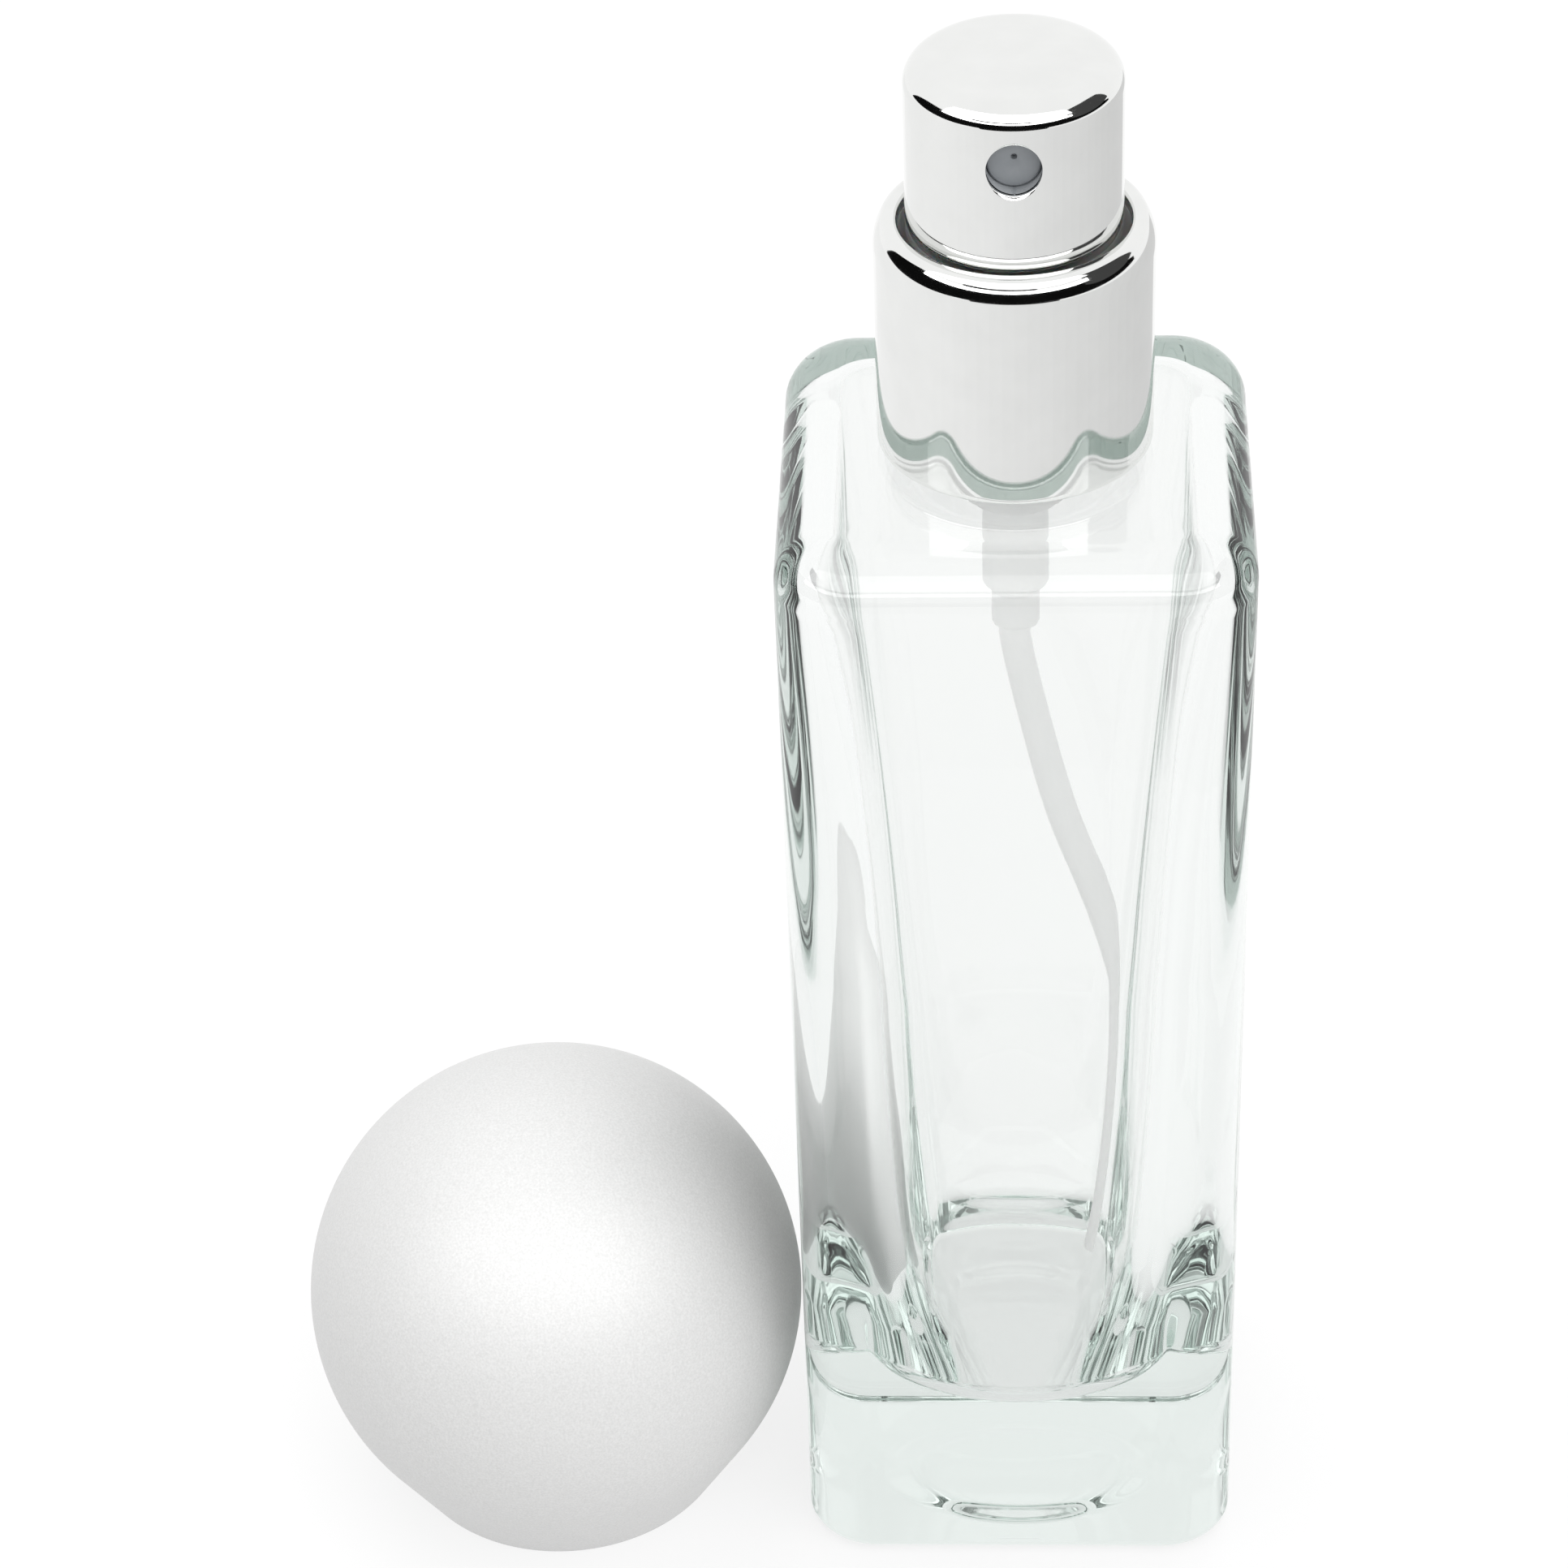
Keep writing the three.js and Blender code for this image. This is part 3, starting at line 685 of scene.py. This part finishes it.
def spring_path(coil, bottom, top, turns, wire):
    """A compression spring's line, with a closed coil at each end."""
    steps = int(turns * 28)
    rise = top - bottom - 2 * wire
    points = []
    for i in range(steps + 1):
        turn = turns * i / steps
        if turn < 1:
            z = bottom + wire * turn
        elif turn > turns - 1:
            z = top - wire * (turns - turn)
        else:
            z = bottom + wire + rise * (turn - 1) / (turns - 2)
        points.append(Vector((coil * math.cos(TAU * turn), coil * math.sin(TAU * turn), z)))
    return points


def return_spring():
    bottom, top = low("return_spring").z, high("return_spring").z
    wire = 0.35
    coil = span("return_spring").x / 2 - wire / 2
    path = spring_path(coil, bottom + wire / 2, top - wire / 2, 7, wire)
    piece = rod("main_spring", path, wire / 2)
    stand(piece, "return_spring", "pump", STEEL)
    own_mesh(piece)


def precompression_spring():
    bottom, top = low("precompression_spring").z, high("precompression_spring").z
    wire = 0.25
    coil = span("precompression_spring").x / 2 - wire / 2
    piece = rod("inner_spring", spring_path(coil, bottom + wire / 2, top - wire / 2, 7, wire), wire / 2)
    stand(piece, "precompression_spring", "stem", STEEL)


def curve_through(points, steps):
    """A smooth line through the points, with evenly many steps in each stretch."""
    p = [Vector(q) for q in points]
    p = [p[0] * 2 - p[1], *p, p[-1] * 2 - p[-2]]
    made = []
    for i in range(1, len(p) - 2):
        for k in range(steps):
            t = k / steps
            made.append(0.5 * (
                2 * p[i] + (p[i + 1] - p[i - 1]) * t
                + (2 * p[i - 1] - 5 * p[i] + 4 * p[i + 1] - p[i + 2]) * t * t
                + (3 * p[i] - p[i - 1] - 3 * p[i + 1] + p[i + 2]) * t ** 3
            ))
    made.append(p[-2])
    return made


def dip_tube():
    """The extruded tube, with its foot cut at a slant."""
    path = curve_through(TUBE_ROUTE, 14)
    frames = sweep_frames(path)
    sides = 40
    slant = Vector((0.45, 0, 0.0))

    def rings_at(radius):
        rings = []
        for i, (point, f) in enumerate(zip(path, frames)):
            ring = ring_about(point, f, radius, sides)
            if i == len(path) - 1:
                ring = [q + f[0] * min(0.0, (q - point).dot(slant) - 0.35) for q in ring]
            rings.append(ring)
        return rings

    outer = rings_at(TUBE_RADIUS)
    inner = rings_at(TUBE_BORE)
    piece = grid("suction_tube", outer + list(reversed(inner)), True)
    stand(piece, "dip_tube", "pump", FROSTED)


def inlet_ball():
    centre = middle("inlet_ball")
    radius = span("inlet_ball").z / 2
    profile = arc(0, centre.z, radius, -90, 90, 24)
    piece = turned("check_ball", [(0, profile[0][1]), *profile[1:-1], (0, profile[-1][1])], sides=48)
    stand(piece, "inlet_ball", "inlet_valve", STEEL)


# ------------------------------------------------------------------ stem
def stem_tube():
    bottom, top = low("stem").z, high("stem").z
    outline = [
        (1.4, bottom), (1.9, bottom), (1.9, bottom + 4.3), (2.0, bottom + 4.3),
        (2.0, bottom + 5.5), (1.4, bottom + 5.5), (1.4, top - 0.4), (1.2, top),
        (0.6, top), (0.6, bottom + 4.3), (1.4, bottom + 4.3),
    ]
    piece = turned("pump_stem", rounded(outline, 0.08, 3), closed_profile=True, sides=72)
    stand(piece, "stem", "stem", WHITE)


def piston():
    bottom, top = low("piston").z, high("piston").z
    outer = span("piston").x / 2
    outline = [
        (1.95, bottom + 0.8), (2.25, bottom), (outer, bottom), (outer, bottom + 0.8),
        (2.25, bottom + 1.6), (2.25, top - 1.6), (outer, top - 0.8), (outer, top),
        (2.25, top), (1.95, top - 0.8),
    ]
    piece = turned("piston_seal", rounded(outline, 0.1, 3), closed_profile=True, sides=72)
    stand(piece, "piston", "stem", FROSTED)


def poppet():
    bottom, top = low("poppet").z, high("poppet").z
    profile = [
        (0, bottom), (1.15, bottom), (1.3, bottom + 0.15), (1.3, bottom + 1.1), (1.2, bottom + 1.2),
        (0.55, bottom + 1.2), (0.45, bottom + 1.3), (0.45, top - 0.45), (0.3, top - 0.15), (0, top),
    ]
    piece = turned("valve_pin", profile, sides=48)
    stand(piece, "poppet", "stem", WHITE)


# ------------------------------------------------------------------ collar
def screw_closure():
    bottom, top = low("screw_closure").z, high("screw_closure").z
    outer = span("screw_closure").x / 2
    plate = top - 3.9
    under = plate - 0.75

    def thread(radius, angle, z):
        if radius > 7.62 or z > under - 0.5 or z < bottom + 0.5:
            return radius
        x, y = math.cos(angle), math.sin(angle)
        return radius - THREAD_DEPTH * thread_height(x, y, z, THREAD_START + THREAD_PITCH / 2)

    profile = [
        (7.6, bottom + 0.2), (7.8, bottom), (outer - 0.15, bottom), (outer, bottom + 0.15),
        (outer, top - 0.6), (outer - 0.6, top), (7.6, top), (7.5, top - 0.1),
        (7.5, plate + 0.15), (7.35, plate), (3.4, plate), (3.3, plate - 0.1),
        (3.3, under + 0.1), (3.4, under), (7.6, under),
    ]
    profile += [(7.6, under - 0.15 * k) for k in range(1, int((under - bottom - 0.3) / 0.15))]
    piece = turned("threaded_closure", profile, closed_profile=True, shape=thread, sides=160)
    stand(piece, "screw_closure", "collar", WHITE)


def collar_sleeve():
    """The bright sleeve: its side leans in over a wide arc, then turns over a tight one into the
    rim, and the rim rolls down into the mouth."""
    bottom, top = low("collar_sleeve").z, high("collar_sleeve").z
    outer = span("collar_sleeve").x / 2
    wall, mouth, lip = 0.45, 7.4, 0.45
    side_radius, side_turn, edge_radius = 3.2, 32, 0.65
    turn = math.radians(side_turn)
    edge_z = top - edge_radius
    side_r = outer - side_radius
    side_z = edge_z - (side_radius - edge_radius) * math.sin(turn)
    edge_r = side_r + (side_radius - edge_radius) * math.cos(turn)
    profile = [(outer - 0.12, bottom), (outer - 0.03, bottom + 0.04), (outer, bottom + 0.14)]
    profile += line((outer, bottom + 0.4), (outer, side_z - 0.1), 12)
    profile += arc(side_r, side_z, side_radius, 0, side_turn, 20)
    profile += arc(edge_r, edge_z, edge_radius, side_turn, 90, 14)[1:]
    profile += arc(mouth + lip, top - lip, lip, 90, 180, 12)
    profile += [(mouth, top - 0.8), (mouth + 0.06, top - 0.95), (mouth + 0.16, top - 0.6)]
    profile += arc(edge_r, edge_z, edge_radius - wall, 90, side_turn, 5)
    profile += arc(side_r, side_z, side_radius - wall, side_turn, 0, 8)[1:]
    profile += [(outer - wall, bottom + 0.1)]
    piece = turned("collar_shell", profile, closed_profile=True, sides=256)
    stand(piece, "collar_sleeve", "collar", MIRROR)


# ------------------------------------------------------------------ push button
BUTTON_FILLET = 1.6
NOZZLE_HOLE = 1.75


def nozzle_height():
    return middle("nozzle_insert").z


def button_shell():
    """A drawn cup with a round window for the spray nozzle."""
    bottom, top = low("actuator_shell").z, high("actuator_shell").z
    outer = span("actuator_shell").x / 2
    wall = 0.4
    profile = [(outer - 0.3, bottom), (outer - 0.06, bottom + 0.02), (outer, bottom + 0.1)]
    profile += line((outer, bottom + 0.3), (outer, top - BUTTON_FILLET - 0.1), 24)
    profile += arc(outer - BUTTON_FILLET, top - BUTTON_FILLET, BUTTON_FILLET, 0, 90, 24)
    profile += [(4.0, top), (2.0, top), (0, top), (0, top - wall), (4.0, top - wall)]
    profile += arc(outer - BUTTON_FILLET, top - BUTTON_FILLET, BUTTON_FILLET - wall, 90, 0, 10)
    profile += [(outer - wall, bottom + 0.1), (outer - 0.34, bottom)]
    piece = turned("button_cup", profile, closed_profile=True, sides=256)
    flare = 0.1
    front = -outer + 0.12
    cutter_profile = [(0, 0)]
    cutter_profile += [(NOZZLE_HOLE + flare + 1, 0), (NOZZLE_HOLE + flare, 1.0)]
    cutter_profile += arc(NOZZLE_HOLE + flare, 1.0 + flare, flare, 270, 180, 6)
    cutter_profile += [(NOZZLE_HOLE, 3.0), (0, 3.0)]
    cutter = turned("cutter", cutter_profile, sides=96)
    turn_to_y(cutter, front - 1.0, nozzle_height())
    cut(piece, cutter)
    smooth_wall(piece, outer, outer - wall, top - BUTTON_FILLET)
    stand(piece, "actuator_shell", "button", MIRROR)


def smooth_wall(piece, outer, inner, top):
    """After the cut, gives the cup's round wall its true normals again."""
    mesh = piece.data
    normals = []
    for polygon in mesh.polygons:
        centre = polygon.center / MM
        radius = math.hypot(centre.x, centre.y)
        radial = Vector((centre.x, centre.y, 0)).normalized()
        facing = polygon.normal.dot(radial)
        near_wall = min(abs(radius - outer), abs(radius - inner)) < 0.1
        on_wall = near_wall and centre.z < top and abs(facing) > 0.97
        for index in polygon.loop_indices:
            point = mesh.vertices[mesh.loops[index].vertex_index].co
            if on_wall:
                way = 1 if facing > 0 else -1
                normals.append(Vector((point.x, point.y, 0)).normalized() * way)
            else:
                normals.append(Vector((0, 0, 0)))
    mesh.normals_split_custom_set(normals)


def button_core():
    bottom, top = low("actuator_core").z, high("actuator_core").z
    outer = span("actuator_core").x / 2
    height = nozzle_height()
    profile = [
        (1.45, bottom + 0.1), (1.55, bottom), (2.6, bottom), (2.7, bottom + 0.1),
        (2.7, bottom + 4.2), (5.5, bottom + 4.2), (5.5, bottom + 0.1), (5.6, bottom),
        (outer - 0.1, bottom), (outer, bottom + 0.1), (outer, top - 1.5),
    ]
    profile += arc(outer - 1.4, top - 1.4, 1.4, 0, 90, 8)
    profile += [(0, top), (0, bottom + 5.35), (1.35, bottom + 5.35), (1.45, bottom + 5.25)]
    piece = turned("button_body", profile, closed_profile=True, sides=96)
    pocket = turned("pocket", [(0, 0), (1.8, 0), (1.8, 4.85), (0.9, 4.85), (0.9, 2.3), (0, 2.3)], sides=64)
    turn_to_y(pocket, -7.45, height)
    feed = turned("feed", [(0, 0), (0.5, 0), (0.5, 3.4), (0, 3.4)], sides=32)
    turn_to_y(feed, -2.9, bottom + 6.05)
    riser_profile = [(0, bottom + 4.4), (0.5, bottom + 4.4), (0.5, bottom + 6.05), (0, bottom + 6.05)]
    riser = turned("riser", riser_profile, sides=32)
    cut(piece, pocket, feed, riser)
    stand(piece, "actuator_core", "button", GREY)


def nozzle_insert():
    """The swirl cup's face: a shallow dish, set back in its hole, with a fine orifice above its middle."""
    radius = span("nozzle_insert").x / 2
    length = span("nozzle_insert").y
    face, orifice_rise = 0.35, 0.4
    profile = [
        (0.16, face + 0.3), (0.2, face + 0.16), (0.34, face + 0.1), (0.9, face + 0.06),
        (radius - 0.3, face + 0.02), (radius - 0.1, face + 0.04), (radius, face + 0.16),
        (radius, length), (1.15, length), (1.15, 0.95), (0.16, 0.95),
    ]
    piece = turned("spray_nozzle", profile, closed_profile=True, sides=96)
    height = nozzle_height()
    turn_to_y(piece, low("nozzle_insert").y, height)
    for vertex in piece.data.vertices:
        away = math.hypot(vertex.co.x / MM, vertex.co.z / MM - height) / radius
        vertex.co.z += orifice_rise * max(0.0, 1 - away) * MM
    stand(piece, "nozzle_insert", "button", GREY)


# ------------------------------------------------------------------ ball cap
def cap_centre():
    centre = middle("cap_shell")
    return centre.x, centre.y


def ball_cap():
    """The ball runs down into a short cone, tangent to it, that ends in the rim."""
    radius = span("cap_shell").x / 2
    top = high("cap_shell").z
    centre_z = top - radius
    wall, rim, mouth = 1.8, 12.1, 10.55
    cone_top = math.degrees(math.atan(centre_z / rim) - math.acos(radius / math.hypot(rim, centre_z)))
    inner_radius = radius - wall
    bore_top = math.degrees(math.acos(mouth / inner_radius))
    profile = [(mouth + 0.15, 0), (rim - 0.25, 0)]
    profile += arc(rim - 0.25, 0.25, 0.25, -90, -cone_top, 4)
    profile += arc(0, centre_z, radius, -cone_top, 90, 130)[:-1]
    profile += [(0, top), (0, top - wall)]
    profile += arc(0, centre_z, inner_radius, 90, -bore_top, 60)[1:]
    profile += [(mouth, 0.15)]
    piece = turned("ball_shell", profile, cap_centre(), sides=256, closed_profile=True)
    stand(piece, "cap_shell", "cap", BLASTED)


def cap_liner():
    """The plastic liner, with ribs in its mouth that grip the collar."""
    bottom, top = low("cap_liner").z, high("cap_liner").z
    outer = span("cap_liner").x / 2

    def ribs(radius, angle, z):
        if radius > 9.2 or radius < 9.1 or z > 16:
            return radius
        wave = max(0.0, math.cos(12 * angle))
        return radius - 0.12 * wave ** 8

    outline = [
        (9.15, bottom + 0.5), (9.5, bottom), (outer, bottom), (outer, 17.9), (8.4, 17.9),
        (8.4, top), (0, top), (0, top - 0.9), (7.4, top - 0.9), (7.4, 17), (9.15, 17),
    ]
    profile = rounded(outline, 0.15, 3)
    profile = [p for p in profile if p[0] > 0.2 or abs(p[0]) < 1e-9]
    piece = turned("liner", profile, cap_centre(), sides=240, closed_profile=True, shape=ribs)
    stand(piece, "cap_liner", "cap", WHITE)


def cap_weight():
    bottom, top = low("cap_weight").z, high("cap_weight").z
    piece = washer("balance_ring", 8.5, span("cap_weight").x / 2, bottom, top, 0.3, cap_centre(), 128)
    stand(piece, "cap_weight", "cap", STEEL)


# ------------------------------------------------------------------ stage, light and camera
TABLE_STRIPS = 30
TENT_CENTRE_Z = 104.0


def card(name, verts, faces, brightness, glossy=True, through_glass=False):
    mesh = bpy.data.meshes.new(name)
    mesh.from_pydata([Vector(v) * MM for v in verts], [], faces)
    piece = bpy.data.objects.new(name, mesh)
    bpy.context.scene.collection.objects.link(piece)
    material = bpy.data.materials.new(name)
    material.use_nodes = True
    tree = material.node_tree
    tree.nodes.clear()
    output = tree.nodes.new("ShaderNodeOutputMaterial")
    glow = tree.nodes.new("ShaderNodeEmission")
    glow.inputs["Color"].default_value = (1, 1, 1, 1)
    glow.inputs["Strength"].default_value = brightness
    tree.links.new(glow.outputs["Emission"], output.inputs["Surface"])
    mesh.materials.append(material)
    piece.visible_camera = False
    piece.visible_shadow = False
    piece.visible_diffuse = False
    piece.visible_glossy = glossy
    piece.visible_transmission = through_glass
    return piece


def floor():
    mesh = bpy.data.meshes.new("floor")
    reach = 4.0
    corners = [(-reach, -reach, 0), (reach, -reach, 0), (reach, reach, 0), (-reach, reach, 0)]
    mesh.from_pydata(corners, [], [(0, 1, 2, 3)])
    piece = bpy.data.objects.new("floor", mesh)
    bpy.context.scene.collection.objects.link(piece)
    material = bpy.data.materials.new("white_paper")
    material.use_nodes = True
    shader = material.node_tree.nodes["Principled BSDF"]
    shader.inputs["Base Color"].default_value = (0.15, 0.15, 0.15, 1)
    shader.inputs["Roughness"].default_value = 0.9
    shader.inputs["Specular IOR Level"].default_value = 0.0
    shader.inputs["Emission Color"].default_value = (1, 1, 1, 1)
    shader.inputs["Emission Strength"].default_value = 0.79
    mesh.materials.append(material)
    piece.location.z = -0.00005


def world():
    made = bpy.data.worlds.new("studio")
    bpy.context.scene.world = made
    made.use_nodes = True
    background = made.node_tree.nodes["Background"]
    background.inputs["Color"].default_value = (1, 1, 1, 1)
    background.inputs["Strength"].default_value = 1.05


def tent_card(name, turns, rises, brightness, radius=300.0, lean=(0, 0), **seen):
    """A patch of a sphere round the collar, between two turns from the front and two elevations.
    lean says how much its lower and upper edges close on each other towards both ends, in degrees."""
    steps_x = max(4, int((turns[1] - turns[0]) / 4))
    steps_z = max(2, int((rises[1] - rises[0]) / 4))
    verts = []
    for k in range(steps_z + 1):
        for i in range(steps_x + 1):
            along = i / steps_x
            end = abs(2 * along - 1) ** 3
            bottom = rises[0] + lean[0] * end
            top = rises[1] - lean[1] * end
            rise = math.radians(bottom + (top - bottom) * k / steps_z)
            turn = math.radians(turns[0] + (turns[1] - turns[0]) * along)
            out = radius * math.cos(rise)
            z = TENT_CENTRE_Z + radius * math.sin(rise)
            verts.append((out * math.sin(turn), -out * math.cos(turn), z))
    row = steps_x + 1
    faces = [
        (k * row + i, k * row + i + 1, (k + 1) * row + i + 1, (k + 1) * row + i)
        for k in range(steps_z) for i in range(steps_x)
    ]
    return card(name, verts, faces, brightness, **seen)


def light_tent():
    """The dark open front of the tent, the lamp panel over it in two strips, and the table round the
    bottle, which is paler on the left. Turns are degrees to the right of the bottle's front."""
    tent_card("open_front", (-114, 106), (-7, 20), 0.004, lean=(4, 18))
    tent_card("dark_left", (-118, -38), (-8, 20), 0.004, radius=299, lean=(2, 24))
    tent_card("stand", (-34, 34), (-26, -7), 0.004, lean=(18, 0))
    tent_card("dark_side", (56, 106), (2, 42), 0.06, radius=298, lean=(6, 6))
    tent_card("lamp_lower", (-76, 60), (14, 20.5), 4.0, radius=290)
    tent_card("lamp_gap", (-42, 18), (20.5, 24.5), 0.02, radius=291)
    tent_card("lamp_upper", (-76, 62), (24.5, 58), 2.5, radius=292, lean=(0, 12))
    for k in range(TABLE_STRIPS):
        turn = -150 + 300 * k / TABLE_STRIPS
        glow = 1.0 - 0.27 * min(1.0, max(0.0, (turn + 75) / 190))
        tent_card(f"table_{k}", (turn, turn + 300 / TABLE_STRIPS), (-43, -9), glow, radius=150)
    tent_card("dim_front", (-114, 106), (-7, 16), 0.65, lean=(4, 14), glossy=False, through_glass=True)
    tent_card("lamp_through_glass", (-76, 62), (18, 56), 1.6, radius=290, glossy=False, through_glass=True)


def softbox(name, towards, strength):
    """A wide soft lamp that shades the matt surfaces and leaves the mirrors and the glass alone."""
    data = bpy.data.lights.new(name, "SUN")
    data.energy = strength
    data.angle = math.radians(60)
    lamp = bpy.data.objects.new(name, data)
    bpy.context.scene.collection.objects.link(lamp)
    lamp.rotation_euler = Vector(towards).to_track_quat("Z", "Y").to_euler()
    lamp.visible_glossy = False
    lamp.visible_transmission = False


def camera():
    """The main view: distance and aim in millimetres, angles in degrees."""
    distance, elevation, azimuth, roll = 326.37, 36.787, 3.524, -2.323
    aim = Vector((-15.99, 0, 59.05))
    e, a, r = (math.radians(v) for v in (elevation, azimuth, roll))
    back = Vector((math.cos(e) * math.sin(a), -math.cos(e) * math.cos(a), math.sin(e)))
    level = Vector((math.cos(a), math.sin(a), 0))
    upright = back.cross(level)
    right = level * math.cos(r) + upright * math.sin(r)
    up = upright * math.cos(r) - level * math.sin(r)
    data = bpy.data.cameras.new("camera")
    data.sensor_width = 36.0
    data.lens = 108.77
    data.clip_start = 0.01
    eye = bpy.data.objects.new("camera", data)
    bpy.context.scene.collection.objects.link(eye)
    place = (aim + back * distance) * MM
    eye.matrix_world = Matrix.Translation(place) @ Matrix((right, up, back)).transposed().to_4x4()
    bpy.context.scene.camera = eye


scene = bpy.context.scene
scene.view_settings.view_transform = "Standard"
scene.cycles.max_bounces = 32
scene.cycles.transmission_bounces = 32
scene.cycles.glossy_bounces = 16
camera()
world()
light_tent()
softbox("overhead", (-0.10, 0.35, 0.93), 1.3)
softbox("front_fill", (0.50, -0.52, 0.69), 1.45)
floor()
glass_flask()
neck_gasket()
pump_housing()
pump_turret()
stem_gasket()
return_spring()
dip_tube()
inlet_ball()
stem_tube()
piston()
poppet()
precompression_spring()
screw_closure()
collar_sleeve()
button_shell()
button_core()
nozzle_insert()
ball_cap()
cap_liner()
cap_weight()
